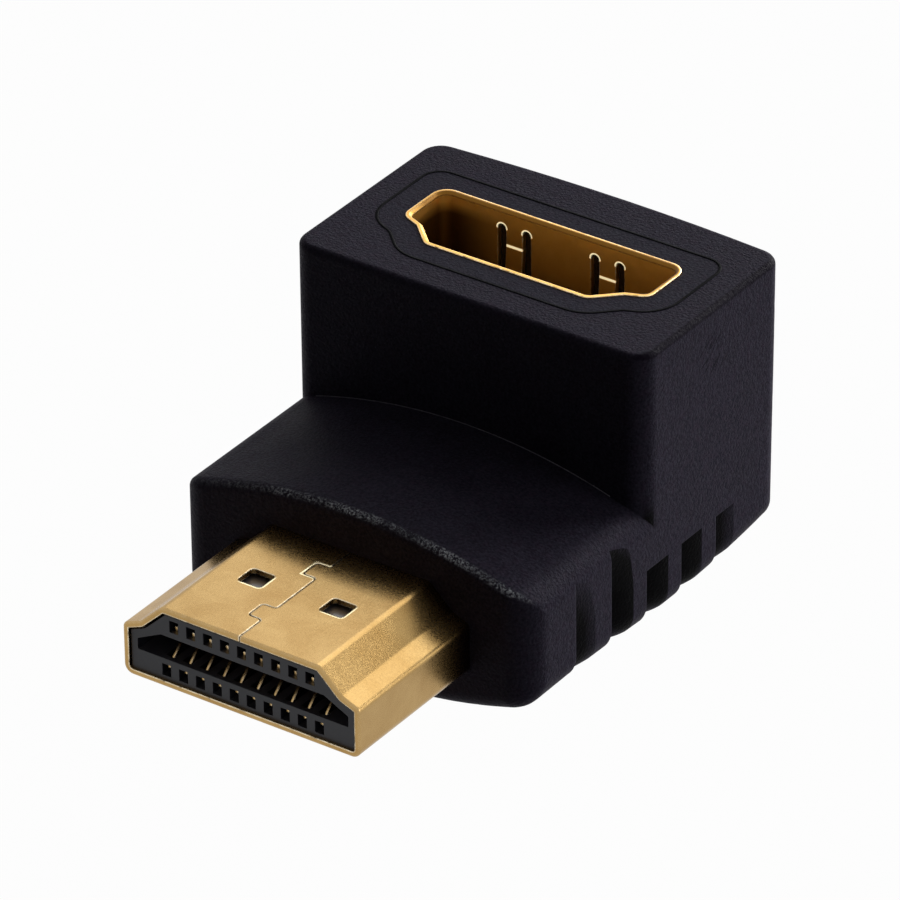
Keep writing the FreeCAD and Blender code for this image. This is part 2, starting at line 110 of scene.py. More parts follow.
def calculate(tree, operation, first, second=0.0, third=0.0, clamp=False):
    """One sum on numbers, such as MULTIPLY."""
    terms = {0: first, 1: second, 2: third}
    return put(tree, "ShaderNodeMath", terms, operation=operation, use_clamp=clamp).outputs[0]


def product(tree, first, *others):
    """Masks or numbers multiplied together."""
    for other in others:
        first = calculate(tree, "MULTIPLY", first, other)
    return first


def apart(tree, first, second):
    """How far one number is from another, whichever is larger."""
    return calculate(tree, "ABSOLUTE", calculate(tree, "SUBTRACT", first, second))


def hypotenuse(tree, first, second):
    """Distance from two sides at a right angle."""
    squares = calculate(tree, "MULTIPLY_ADD", first, first, product(tree, second, second))
    return calculate(tree, "SQRT", squares)


def spread(tree, value, low, high, to_low=0.0, to_high=1.0):
    """A value stretched from one range to another, and kept inside it."""
    ranges = {"Value": value, "From Min": low, "From Max": high, "To Min": to_low, "To Max": to_high}
    return put(tree, "ShaderNodeMapRange", ranges, clamp=True).outputs[0]


def blend_colours(tree, amount, first, second, way="MIX"):
    """Two colours mixed by an amount."""
    mixed = {0: amount, 6: first, 7: second}
    return put(tree, "ShaderNodeMix", mixed, data_type="RGBA", blend_type=way).outputs[2]


def on_vectors(tree, operation, first, second=(0.0, 0.0, 0.0)):
    """One sum on vectors: what comes out is a vector and a number."""
    return put(tree, "ShaderNodeVectorMath", {0: first, 1: second}, operation=operation).outputs


def split(tree, vector):
    """The three parts of a vector."""
    return tuple(put(tree, "ShaderNodeSeparateXYZ", {0: vector}).outputs)


def facing(tree):
    """The three parts of the direction that the surface faces."""
    return split(tree, put(tree, "ShaderNodeNewGeometry").outputs["Normal"])


def noise(tree, place, scale, detail, roughness=0.5, distortion=0.0):
    """Cloudy noise on a place, from 0 to 1."""
    sizes = {"Vector": place, "Scale": scale, "Detail": detail, "Roughness": roughness,
             "Distortion": distortion}
    return put(tree, "ShaderNodeTexNoise", sizes).outputs[0]


print("helpers for node trees:", put.__name__, product.__name__, spread.__name__, "and others")

# %% [markdown]
# An effect that several finishes share is a group with named sockets, and each finish places it with
# its own values. Every finish starts in the same way too: a shader, and the object's own coordinates
# in metres, so that no pattern slides when the object is seen from elsewhere.

# %% Starts of groups and materials
number = "NodeSocketFloat"
direction = "NodeSocketVector"


def start_group(name, inputs, outputs):
    """An empty node group with named sockets, and its two end nodes."""
    group = bpy.data.node_groups.new(name, "ShaderNodeTree")
    for label, kind, value in inputs:
        socket = group.interface.new_socket(label, in_out="INPUT", socket_type=kind)
        if value is not None:
            socket.default_value = value
    for label, kind in outputs:
        group.interface.new_socket(label, in_out="OUTPUT", socket_type=kind)
    return group, group.nodes.new("NodeGroupInput").outputs, group.nodes.new("NodeGroupOutput").inputs


def start_material(name, plain):
    """A new material with its shader, and the object's own coordinates in metres."""
    material = bpy.data.materials.new(name)
    material.diffuse_color = plain
    material.use_nodes = True
    tree = material.node_tree
    place = put(tree, "ShaderNodeTexCoord").outputs["Object"]
    return material, tree, tree.nodes["Principled BSDF"], place


print("socket kinds", number, direction)

# %% [markdown]
# Every moulded or plated surface here is uneven at two scales: a fine grain, a tenth of a millimetre
# across, and slow patches of a millimetre or more. Noise on the object's coordinates gives both, and
# never repeats as a picture would. Cells of a third pattern give small round specks.

# %% Group for grain
grain, given, give = start_group(
    "surface grain",
    [("Place", direction, None), ("Grain Size", number, 0.12 * mm), ("Patch Size", number, 1.5 * mm)],
    [("Grain", number), ("Patches", number), ("Specks", number)])
fine_scale = calculate(grain, "DIVIDE", 1.0, given["Grain Size"])
patch_scale = calculate(grain, "DIVIDE", 1.0, given["Patch Size"])
cells = put(grain, "ShaderNodeTexVoronoi", {"Vector": given["Place"], "Scale": fine_scale}, feature="F1")
grain.links.new(noise(grain, given["Place"], fine_scale, 3.0, 0.6), give["Grain"])
grain.links.new(noise(grain, given["Place"], patch_scale, 5.0, 0.62, 0.4), give["Patches"])
grain.links.new(spread(grain, cells.outputs["Distance"], 0.16, 0.05), give["Specks"])
print(grain.name, "nodes", len(grain.nodes))

# %% [markdown]
# Edges are where a thing wears and where it catches light, so the finishes paint wear along them,
# and also painted highlights on some pieces and painted shade on others. A Bevel node gives the normal
# that a small rounding would have, and where that differs from the true normal there is an edge. The
# group hands out both: the softened normal and a mask of the edges, broken up by noise.

# %% Group for edges
edges, given, give = start_group(
    "edge wear and painted light",
    [("Place", direction, None), ("Radius", number, 0.08 * mm), ("Break Up", number, 0.5)],
    [("Edge", number), ("Normal", direction)])
softened = put(edges, "ShaderNodeBevel", {"Radius": given["Radius"]}, samples=6).outputs[0]
true_normal = put(edges, "ShaderNodeNewGeometry").outputs["True Normal"]
alike = on_vectors(edges, "DOT_PRODUCT", softened, true_normal)["Value"]
at_edge = spread(edges, alike, 0.997, 0.90)
broken = spread(edges, noise(edges, given["Place"], 2600.0, 4.0), 0.35, 0.6)
whole = calculate(edges, "SUBTRACT", 1.0, product(edges, broken, given["Break Up"]), clamp=True)
edges.links.new(product(edges, at_edge, whole), give["Edge"])
edges.links.new(softened, give["Normal"])
print(edges.name, "nodes", len(edges.nodes))

# %% [markdown]
# The outer moulding shows how it is handled, and carries painted light and shade as well. Fingers
# polish the crown over the plug, and small glints there are a painted highlight; the deep side of each
# grip notch gets a painted shade; the arm's upper side edges get a painted shade that makes them
# darker than the faces beside them; and there are a few nicks below the right one. Each mark is a
# mask: it compares the place of a point, in the object's own coordinates, and the way that the surface
# faces there.

# %% Masks for the handled moulding, with painted light and shade
nicks_at = Vector((10.42 * mm, 9.1 * mm, 14.4 * mm))
nick_slope = 0.75
nick_stretch = 4.5


def marks_and_painted_light(tree, place, patches, amount):
    """Masks of the polished crown with painted glints, of the painted shade in the notches, and of the
    nicks with the painted shade of the edges.
    """
    across, along, height = split(tree, place)
    facing_x, facing_y, facing_z = facing(tree)

    # Painted highlight: small glints on the crown, placed where the light falls and more to the right; the
    # same mask also sets a real coat.
    leans_forward = spread(tree, facing_y, -0.12, -0.4)
    looks_up = spread(tree, facing_z, 0.35, 0.7)
    below_arm_top = spread(tree, height, 12.5 * mm, 11.5 * mm)
    more_to_the_right = spread(tree, across, -9.5 * mm, 2.0 * mm, 0.1, 1.0)
    patchy = spread(tree, patches, 0.35, 0.6, 0.3, 1.0)
    glints = spread(tree, noise(tree, place, 9000.0, 2.0, 0.8), 0.46, 0.72)
    polish_and_painted_glints = product(tree, leans_forward, looks_up, below_arm_top, more_to_the_right, patchy,
                       glints, amount)

    # Painted shade: the deep side of each grip notch is painted near black.
    turned_in = spread(tree, facing_y, -0.06, -0.2)
    on_a_side = spread(tree, calculate(tree, "ABSOLUTE", facing_x), 0.7, 0.85)
    behind_the_front = spread(tree, along, -3.4 * mm, -2.7 * mm)
    below_the_crown = spread(tree, height, 8.8 * mm, 7.8 * mm)
    notch_shade = product(tree, turned_in, on_a_side, behind_the_front, below_the_crown)

    # The nicks are marks on the plastic; the dark line between the arm's top and its sides is painted
    # shade.
    slanted = {"Vector": place, "Rotation": (nick_slope, 0.0, 0.0), "Scale": (1.0, nick_stretch, 1.0)}
    turned = put(tree, "ShaderNodeMapping", slanted, vector_type="TEXTURE").outputs[0]
    strokes = spread(tree, noise(tree, turned, 5200.0, 3.0), 0.545, 0.59, 0.0, 0.85)
    around = spread(tree, on_vectors(tree, "DISTANCE", place, nicks_at)["Value"], 1.6 * mm, 0.9 * mm)
    between_top_and_side = spread(tree, product(tree, facing_x, facing_z), 0.08, 0.3, 0.0, 0.95)
    at_arm_top = spread(tree, height, 15.0 * mm, 15.5 * mm)
    nicks_and_edge_shade = calculate(tree, "MAXIMUM", product(tree, around, strokes),
                         product(tree, between_top_and_side, at_arm_top))
    return polish_and_painted_glints, notch_shade, nicks_and_edge_shade


print("nicks at, in mm", in_mm(nicks_at))

# %% [markdown]
# Both mouldings are black flexible plastic with a fine matt grain from the mould. The plastic is
# nearly black, with a slight cool tint, faint patches and a few light scuffs. A plain black would look
# like a hole, so two near blacks are mixed by the grain, and the same grain drives the bump. The outer
# one carries the marks of handling with painted light among them, and the inner one is smoother, with
# painted shade along its edges where it meets the outer.

# %% Black plastic
grain_share = 0.78
scuff_grey = (0.07, 0.066, 0.075, 1.0)
warm_tint = (1.0, 0.78, 0.86, 1.0)
nick_and_shade_black = (0.006, 0.004, 0.009, 1.0)
painted_glint_grey = (0.34, 0.38, 0.44, 1.0)
painted_shade_black = (0.0005, 0.0004, 0.0007, 1.0)


def black_plastic(name, dark, light, grain_depth, edge_colour, edge_amount, scuffs, handling_and_painted_light):
    """Moulded black plastic, from a matt outer skin to a smoother inner part."""
    material, tree, shader, place = start_material(name, (0.01, 0.01, 0.012, 1.0))
    sizes = {"Place": place, "Grain Size": 0.15 * mm, "Patch Size": 2.2 * mm}
    skin = put(tree, "ShaderNodeGroup", sizes, node_tree=grain).outputs
    rim = put(tree, "ShaderNodeGroup", {"Place": place, "Radius": 0.12 * mm}, node_tree=edges).outputs

    mottled = calculate(tree, "MULTIPLY_ADD", skin["Grain"], grain_share,
                        product(tree, skin["Patches"], 1.0 - grain_share))
    base = blend_colours(tree, spread(tree, mottled, 0.36, 0.64), dark, light)
    tinted = spread(tree, noise(tree, place, 2400.0, 2.0), 0.45, 0.7, 0.0, 0.6)
    base = blend_colours(tree, tinted, base, warm_tint, "MULTIPLY")
    scuffed = spread(tree, noise(tree, place, 420.0, 8.0, 0.8, 1.2), 0.66, 0.74)
    base = blend_colours(tree, product(tree, scuffed, scuffs), base, scuff_grey)
    # Edge colour: on the outer moulding lighter edges, partly wear and partly painted highlight; on the
    # inner one near black, painted shade where it meets the outer.
    base = blend_colours(tree, product(tree, rim["Edge"], edge_amount), base, edge_colour)

    if handling_and_painted_light:
        polish_and_painted_glints, notch_shade, nicks_and_edge_shade = marks_and_painted_light(tree, place, skin["Patches"], handling_and_painted_light)
        # Painted shade on the edges and in the notches, and painted glints on the crown, go into the colour
        # here with the nicks.
        base = blend_colours(tree, nicks_and_edge_shade, base, nick_and_shade_black)
        base = blend_colours(tree, product(tree, polish_and_painted_glints, 0.75), base, painted_glint_grey)
        base = blend_colours(tree, notch_shade, base, painted_shade_black)
        tree.links.new(polish_and_painted_glints, shader.inputs["Coat Weight"])
        shader.inputs["Coat Roughness"].default_value = 0.25
        shader.inputs["Coat IOR"].default_value = 2.3

    tree.links.new(base, shader.inputs["Base Color"])
    tree.links.new(spread(tree, skin["Patches"], 0.3, 0.7, 0.44, 0.56), shader.inputs["Roughness"])
    bump = put(tree, "ShaderNodeBump", {"Strength": 0.8, "Distance": grain_depth,
                                        "Height": skin["Grain"], "Normal": rim["Normal"]})
    tree.links.new(bump.outputs[0], shader.inputs["Normal"])
    shader.inputs["Specular IOR Level"].default_value = 0.02
    return material


outer_black = black_plastic("black outer plastic",
                            dark=(0.0145, 0.0125, 0.021, 1.0), light=(0.037, 0.033, 0.050, 1.0),
                            grain_depth=0.07 * mm, edge_colour=(0.05, 0.048, 0.058, 1.0),
                            edge_amount=0.12, scuffs=0.6, handling_and_painted_light=0.9)
# The inner moulding's near-black edges are painted shade along its joint with the outer.
inner_black = black_plastic("black inner plastic",
                            dark=(0.015, 0.0135, 0.022, 1.0), light=(0.034, 0.032, 0.047, 1.0),
                            grain_depth=0.05 * mm, edge_colour=(0.004, 0.004, 0.006, 1.0),
                            edge_amount=0.9, scuffs=0.3, handling_and_painted_light=0.0)
for plastic in (outer_black, inner_black):
    print(plastic.name, "nodes", len(plastic.node_tree.nodes))

# %% [markdown]
# The shells and the strips are thin metal with a gold plating, satin rather than polished. Real
# plating varies a little in tone, is worn pale along the rims, and has small chips and dark pits, so
# one recipe holds all that, and each piece gives its own colours. The pale rims are partly wear and
# partly painted highlight. Each piece also names a mask of where shade is painted, and may name one
# of where a highlight is painted and the normal leans up a little.

# %% Gold plating
worn_pale_and_highlight = (0.98, 0.90, 0.70, 1.0)
painted_highlight_gold = (1.0, 0.88, 0.55, 1.0)
chip_brown = (0.05, 0.03, 0.015, 1.0)
pit_brown = (0.20, 0.12, 0.04, 1.0)
raised_lean = (0.0, 0.0, 1.5)


def gold_plating(name, deep, bright, roughness, pits, shade_at, shade_colour, highlight_at=None):
    """Satin gold plating on sheet or strip, with painted shade, and a painted highlight if one is given."""
    material, tree, shader, place = start_material(name, (0.75, 0.55, 0.25, 1.0))
    sizes = {"Place": place, "Grain Size": 0.12 * mm, "Patch Size": 2.6 * mm}
    skin = put(tree, "ShaderNodeGroup", sizes, node_tree=grain).outputs
    rim = put(tree, "ShaderNodeGroup", {"Place": place, "Radius": 0.11 * mm}, node_tree=edges).outputs

    base = blend_colours(tree, spread(tree, skin["Patches"], 0.25, 0.75), deep, bright)
    # Pale rims: partly wear, partly painted highlight.
    base = blend_colours(tree, product(tree, rim["Edge"], 0.85), base, worn_pale_and_highlight)
    chips = spread(tree, noise(tree, place, 1900.0, 3.0), 0.58, 0.65)
    base = blend_colours(tree, product(tree, rim["Edge"], chips), base, chip_brown)
    base = blend_colours(tree, product(tree, skin["Specks"], pits), base, pit_brown)
    # Painted shade where the piece's mask says.
    base = blend_colours(tree, shade_at(tree, place, skin["Grain"]), base, shade_colour)

    bump = put(tree, "ShaderNodeBump", {"Strength": 0.15, "Distance": 0.01 * mm,
                                        "Height": skin["Grain"], "Normal": rim["Normal"]})
    normal = bump.outputs[0]
    # Painted highlight where the piece's mask says, with the normal leaning up a little.
    if highlight_at:
        highlighted = highlight_at(tree, place)
        base = blend_colours(tree, highlighted, base, painted_highlight_gold)
        raised = put(tree, "ShaderNodeVectorMath", {0: raised_lean, 3: highlighted}, operation="SCALE").outputs[0]
        normal = on_vectors(tree, "NORMALIZE", on_vectors(tree, "ADD", normal, raised)[0])[0]

    tree.links.new(base, shader.inputs["Base Color"])
    tree.links.new(spread(tree, skin["Grain"], 0.3, 0.7, roughness - 0.05, roughness + 0.06),
                   shader.inputs["Roughness"])
    tree.links.new(normal, shader.inputs["Normal"])
    shader.inputs["Metallic"].default_value = 1.0
    return material


print("colour of painted highlight on plating", painted_highlight_gold[:3])

# %% [markdown]
# The plug's shell is painted darker brown over its last stretch before the moulding, a painted shade
# where the dark moulding is reflected, further along its sides than on top. Its two windows have
# painted highlights on rounded rims on the near sides, and the seam's second tab has a painted
# highlight on its lip. The rims follow the windows' rounded corners: the distance outside a smaller
# box is the same all along a rounded outline, so one limit on it gives a rim of even width.

# %% Plug's shell
window_across = 2.4 * mm
window_along = plug_tip.y + 4.7 * mm
tab_across = -0.4 * mm
tab_along = plug_tip.y + 6.87 * mm


def towards_moulding(tree, place, uneven):
    """Painted shade, growing over the last stretch before the moulding."""
    along = split(tree, place)[1]
    sideways = calculate(tree, "ABSOLUTE", facing(tree)[0])
    moved = calculate(tree, "MULTIPLY_ADD", uneven, 2.6 * mm, along)
    moved = calculate(tree, "MULTIPLY_ADD", sideways, 1.2 * mm, moved)
    return spread(tree, moved, -6.7 * mm, -4.6 * mm, 0.0, 0.95)


def outside(tree, value, middle, half):
    """How far a number is outside a range, given by its middle and half its width."""
    return calculate(tree, "SUBTRACT", apart(tree, value, middle), half)


def window_rim_highlights(tree, place):
    """Painted highlights on the near rims of the two windows, and on the lip of the seam's second tab."""
    across, along, height = split(tree, place)
    either_side = calculate(tree, "ABSOLUTE", across)
    past_side = calculate(tree, "MAXIMUM", outside(tree, either_side, window_across, 0.48 * mm), 0.0)
    past_end = calculate(tree, "MAXIMUM", outside(tree, along, window_along, 0.455 * mm), 0.0)
    ring = spread(tree, hypotenuse(tree, past_side, past_end), 0.33 * mm, 0.30 * mm)
    from_window = product(tree, calculate(tree, "SUBTRACT", either_side, window_across),
                          calculate(tree, "SIGN", across))
    behind_window = calculate(tree, "SUBTRACT", along, window_along)
    near_side = spread(tree, calculate(tree, "SUBTRACT", from_window, behind_window), 0.1 * mm, 0.4 * mm)
    past_tab = calculate(tree, "MAXIMUM", outside(tree, along, tab_along, 0.59 * mm),
                         outside(tree, across, tab_across, 0.4 * mm))
    lip = product(tree, spread(tree, past_tab, 0.03 * mm, 0.05 * mm),
                  spread(tree, past_tab, 0.14 * mm, 0.11 * mm), spread(tree, across, 0.02 * mm, -0.03 * mm))
    on_top = spread(tree, height, 7.4 * mm, 7.5 * mm)
    return product(tree, calculate(tree, "MAXIMUM", product(tree, ring, near_side), lip), on_top)


shell_gold = gold_plating("gold plated sheet", deep=(0.34, 0.202, 0.066, 1.0),
                          bright=(0.47, 0.31, 0.122, 1.0), roughness=0.25, pits=0.05,
                          shade_at=towards_moulding, shade_colour=(0.035, 0.016, 0.006, 1.0),
                          highlight_at=window_rim_highlights)
print(shell_gold.name, "nodes", len(shell_gold.node_tree.nodes))

# %% [markdown]
# The socket's shell is the same plating, deeper in tone. Along the back its rim gets a painted shade
# where the sheet turns in, and its left end and its depth are painted darker too. Each spring finger
# has a painted highlight on a crease across it, and the tops of the slots beside it have painted
# highlights on their edges. A wide Bevel node tells where the rim turns: its normal leans away from
# the socket's middle on the outer side, and not on the inner.

# %% Socket's shell
arm_top = 13.8
rim_top = 13.85
socket_from_tip = 24.85
arm_top_height = plug_tip.z + arm_top * mm
socket_middle = Vector((0.0, plug_tip.y + socket_from_tip * mm, plug_tip.z + rim_top * mm))
finger_across = 2.77 * mm
finger_slot = 0.74 * mm
crease_height = arm_top_height - 1.9 * mm
slot_top_height = arm_top_height - 1.0 * mm


def socket_shades(tree, place, _):
    """Painted shade: where the rim turns in at the back, and towards the left end and the depth."""
    away = on_vectors(tree, "SUBTRACT", place, socket_middle)[0]
    level_away = on_vectors(tree, "MULTIPLY", away, (1.0, 1.0, 0.0))[0]
    outwards = on_vectors(tree, "NORMALIZE", level_away)[0]
    rounded = put(tree, "ShaderNodeBevel", {"Radius": 0.26 * mm}, samples=8).outputs[0]
    height = split(tree, place)[2]
    leaning = spread(tree, on_vectors(tree, "DOT_PRODUCT", rounded, outwards)["Value"], 0.16, 0.06)
    at_rim = spread(tree, height, 16.82 * mm, 16.88 * mm)
    at_back = spread(tree, split(tree, outwards)[1], -0.25, 0.1)
    deep_down = spread(tree, height, 16.4 * mm, 12.6 * mm, 0.0, 0.55)
    left_end = product(tree, spread(tree, split(tree, away)[0], -3.0 * mm, -6.2 * mm),
                       spread(tree, height, 16.5 * mm, 15.9 * mm))
    inside = calculate(tree, "MAXIMUM", left_end, deep_down)
    return calculate(tree, "MAXIMUM", product(tree, leaning, at_rim, at_back), inside)


def finger_highlights(tree, place):
    """Painted highlight on a crease across each spring finger, and round its slots' tops."""
    across, _, height = split(tree, place)
    beside = apart(tree, calculate(tree, "ABSOLUTE", across), finger_across)
    crease = product(tree, spread(tree, apart(tree, height, crease_height), 0.09 * mm, 0.04 * mm),
                     spread(tree, beside, 0.5 * mm, 0.46 * mm))
    above = calculate(tree, "SUBTRACT", height, slot_top_height)
    reach = hypotenuse(tree, apart(tree, beside, finger_slot), above)
    slot_top = product(tree, spread(tree, reach, 0.34 * mm, 0.31 * mm),
                       spread(tree, above, -0.08 * mm, 0.02 * mm))
    return calculate(tree, "MAXIMUM", crease, slot_top)


socket_gold = gold_plating("gold plated socket", deep=(0.66, 0.35, 0.06, 1.0),
                           bright=(0.84, 0.48, 0.11, 1.0), roughness=0.42, pits=0.02,
                           shade_at=socket_shades, shade_colour=(0.15, 0.07, 0.012, 1.0),
                           highlight_at=finger_highlights)
print(socket_gold.name, "nodes", len(socket_gold.node_tree.nodes))

# %% [markdown]
# The contacts are narrow strips of the same plating. In the plug only their front ends catch light,
# and the rest lies in the dark of the slot, so shade is painted on them, growing with the distance
# from the tip. Those of the socket are further back, and painted dark all over.

# %% Contact strips
def strip_depth(tree, place, uneven):
    """Painted shade, growing from a strip's bright end back into the dark of the slot."""
    moved = calculate(tree, "MULTIPLY_ADD", uneven, 0.2 * mm, split(tree, place)[1])
    return spread(tree, moved, -15.1 * mm, -14.5 * mm, 0.0, 0.8)


contact_gold = gold_plating("gold plated strip", deep=(0.30, 0.18, 0.06, 1.0),
                            bright=(0.52, 0.34, 0.13, 1.0), roughness=0.24, pits=0.02,
                            shade_at=strip_depth, shade_colour=(0.07, 0.035, 0.012, 1.0))
print(contact_gold.name, "nodes", len(contact_gold.node_tree.nodes))

# %% [markdown]
# The insulators are a stiff, smooth plastic, a dark blue grey. Faces that look up lie open to the
# light through the plug's windows and in the socket: they are painted paler there, as painted light,
# and are glossier. A mask of those faces feeds both the painted colour and a coat.

# %% Insulator plastic
painted_light_grey = (0.12, 0.115, 0.13, 1.0)
insulator_edge = (0.09, 0.09, 0.10, 1.0)


def insulator_plastic():
    """Smooth dark plastic that holds the contacts."""
    material, tree, shader, place = start_material("insulator plastic", (0.03, 0.03, 0.035, 1.0))
    sizes = {"Place": place, "Grain Size": 0.08 * mm, "Patch Size": 1.6 * mm}
    skin = put(tree, "ShaderNodeGroup", sizes, node_tree=grain).outputs
    rim = put(tree, "ShaderNodeGroup", {"Place": place, "Radius": 0.04 * mm}, node_tree=edges).outputs
    base = blend_colours(tree, spread(tree, skin["Patches"], 0.3, 0.7),
                         (0.008, 0.0085, 0.013, 1.0), (0.015, 0.0155, 0.021, 1.0))
    looks_up = spread(tree, facing(tree)[2], 0.85, 0.95)
    # Painted light: faces that look up are painted paler.
    base = blend_colours(tree, looks_up, base, painted_light_grey)
    base = blend_colours(tree, product(tree, rim["Edge"], 0.4), base, insulator_edge)
    tree.links.new(base, shader.inputs["Base Color"])
    tree.links.new(looks_up, shader.inputs["Coat Weight"])
    tree.links.new(spread(tree, skin["Grain"], 0.3, 0.7, 0.38, 0.5), shader.inputs["Roughness"])
    bump = put(tree, "ShaderNodeBump", {"Strength": 0.3, "Distance": 0.01 * mm,
                                        "Height": skin["Grain"], "Normal": rim["Normal"]})
    tree.links.new(bump.outputs[0], shader.inputs["Normal"])
    shader.inputs["Coat Roughness"].default_value = 0.2
    shader.inputs["Specular IOR Level"].default_value = 0.36
    return material


insulator = insulator_plastic()
print(insulator.name, "nodes", len(insulator.node_tree.nodes))

# %% [markdown]
# The circuit board is hidden inside. It still gets its own finish: green lacquer over a woven glass
# sheet, with the weave just showing. A fine checker stands for the threads that cross.

# %% Circuit board
def board_lacquer():
    """Green lacquer over woven glass."""
    material, tree, shader, place = start_material("board lacquer", (0.01, 0.12, 0.05, 1.0))
    skin = put(tree, "ShaderNodeGroup", {"Place": place}, node_tree=grain).outputs
    weave = put(tree, "ShaderNodeTexChecker", {"Vector": place, "Scale": 4000.0}).outputs[1]
    woven = calculate(tree, "MULTIPLY_ADD", weave, 0.25, skin["Patches"])
    base = blend_colours(tree, spread(tree, woven, 0.3, 0.95), (0.008, 0.085, 0.035, 1.0),
                         (0.018, 0.15, 0.07, 1.0))
    tree.links.new(base, shader.inputs["Base Color"])
    tree.links.new(spread(tree, skin["Grain"], 0.3, 0.7, 0.25, 0.4), shader.inputs["Roughness"])
    bump = put(tree, "ShaderNodeBump", {"Strength": 0.3, "Distance": 0.01 * mm, "Height": woven})
    tree.links.new(bump.outputs[0], shader.inputs["Normal"])
    return material


board_green = board_lacquer()
print(board_green.name, "nodes", len(board_green.node_tree.nodes))

# %% [markdown]
# The solids have the right shapes already, so they stay, and only take their finishes. All pieces that
# aren't named here are contacts.

# %% Give the fixed pieces their finishes
finishes = {"overmould": outer_black, "inner_mould": inner_black, "circuit_board": board_green,
            "plug_shell": shell_gold, "socket_shell": socket_gold,
            "plug_insulator": insulator, "socket_insulator": insulator}
for name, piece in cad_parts.items():
    piece.data.materials.clear()
    piece.data.materials.append(finishes.get(name, contact_gold))
print("dressed", len(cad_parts))

# %% [markdown]
# The contacts are stamped strips in even rows, half a pitch apart. One strip is a bent line, drawn in
# the plane of its bends. A node tree rounds the bends, gives the line a flat section that stands on
# edge, with its thickness along the row, and repeats it. Four rows use the same tree: two in the plug
# and two on the socket's tongue.

# %% Tree for a row of strips
def start_tree(name, values, finish, result):
    """An empty tree for pieces: it takes a line, some values and a finish, and gives a mesh."""
    tree = bpy.data.node_groups.new(name, "GeometryNodeTree")
    tree.interface.new_socket("Line", in_out="INPUT", socket_type="NodeSocketGeometry")
    for label, kind, value in values:
        tree.interface.new_socket(label, in_out="INPUT", socket_type=kind).default_value = value
    tree.interface.new_socket(finish, in_out="INPUT", socket_type="NodeSocketMaterial")
    tree.interface.new_socket(result, in_out="OUTPUT", socket_type="NodeSocketGeometry")
    return tree, tree.nodes.new("NodeGroupInput").outputs, tree.nodes.new("NodeGroupOutput").inputs


def make_row_tree():
    """A bent line becomes a row of flat strips."""
    tree, given, give = start_tree(
        "row of strips",
        [("Strips", "NodeSocketInt", 10), ("Pitch", number, 1.0 * mm), ("Width", number, 0.3 * mm),
         ("Thickness", number, 0.16 * mm), ("Bend Radius", number, 0.3 * mm)],
        "Metal", "Row")
    line = put(tree, "GeometryNodeMeshToCurve", {"Mesh": given["Line"]})
    bent = put(tree, "GeometryNodeFilletCurve", {"Curve": line.outputs[0], "Radius": given["Bend Radius"],
                                                 "Limit Radius": True, "Count": 6}, mode="POLY")
    section = put(tree, "GeometryNodeCurvePrimitiveQuadrilateral", {"Width": given["Thickness"],
                                                                    "Height": given["Width"]})
    corner = product(tree, given["Thickness"], 0.22)
    rounded = put(tree, "GeometryNodeFilletCurve", {"Curve": section.outputs[0], "Radius": corner,
                                                    "Count": 2}, mode="POLY")
    strip = put(tree, "GeometryNodeCurveToMesh", {"Curve": bent.outputs[0], "Fill Caps": True,
                                                  "Profile Curve": rounded.outputs[0]})
    last = calculate(tree, "SUBTRACT", given["Strips"], 1.0)
    start = put(tree, "ShaderNodeCombineXYZ", {"X": product(tree, last, given["Pitch"], -0.5)})
    step = put(tree, "ShaderNodeCombineXYZ", {"X": given["Pitch"]})
    places = put(tree, "GeometryNodeMeshLine", {"Count": given["Strips"], "Offset": step.outputs[0],
                                                "Start Location": start.outputs[0]})
    row = put(tree, "GeometryNodeInstanceOnPoints", {"Points": places.outputs[0],
                                                     "Instance": strip.outputs[0]})
    real = put(tree, "GeometryNodeRealizeInstances", {"Geometry": row.outputs[0]})
    metal = put(tree, "GeometryNodeSetMaterial", {"Geometry": real.outputs[0], "Material": given["Metal"]})
    tree.links.new(metal.outputs[0], give["Row"])
    return tree


row_tree = make_row_tree()
print(row_tree.name, "nodes", len(row_tree.nodes))

# %% [markdown]
# A tree runs as a modifier on a line of points. Its inputs are set by the sockets' identifiers, before
# the piece is first worked out. The result is then kept as a plain mesh and the modifier goes, so that
# nothing depends on the tree afterwards.

# %% Grow a piece from a line
def grow(name, points, tree, values, closed=False, corners=None):
    """Run a node tree on a line of points, and keep the result as a plain mesh."""
    joins = [(i, i + 1) for i in range(len(points) - 1)]
    if closed:
        joins.append((len(points) - 1, 0))
    mesh = bpy.data.meshes.new(name + "_line")
    mesh.from_pydata(points, joins, [])
    if corners:
        mesh.attributes.new("corner", "FLOAT", "POINT").data.foreach_set("value", corners)
    piece = bpy.data.objects.new(name, mesh)
    bpy.context.scene.collection.objects.link(piece)
    modifier = piece.modifiers.new("grow", "NODES")
    modifier.node_group = tree
    for item in tree.interface.items_tree:
        if item.in_out == "INPUT" and item.name in values:
            modifier[item.identifier] = values[item.name]
    evaluated = piece.evaluated_get(bpy.context.evaluated_depsgraph_get())
    made = bpy.data.meshes.new_from_object(evaluated)
    piece.modifiers.remove(modifier)
    piece.data = made
    low = [min(point.co[i] for point in made.vertices) for i in range(3)]
    high = [max(point.co[i] for point in made.vertices) for i in range(3)]
    print(name, "faces", len(made.polygons), "box in mm", in_mm(low), in_mm(high))
    return piece


tip = plug_tip / mm
print("plug's tip, in mm", in_mm(plug_tip))

# %% [markdown]
# A strip of the plug has a front end set into the insulator, a bump that presses on the other
# connector, a straight run, and a tail on the circuit board. A strip of the socket comes down the
# tongue and turns out along the board. Both are given in millimetres from the plug's tip, as their
# solids are, and each row takes the place of its solids.

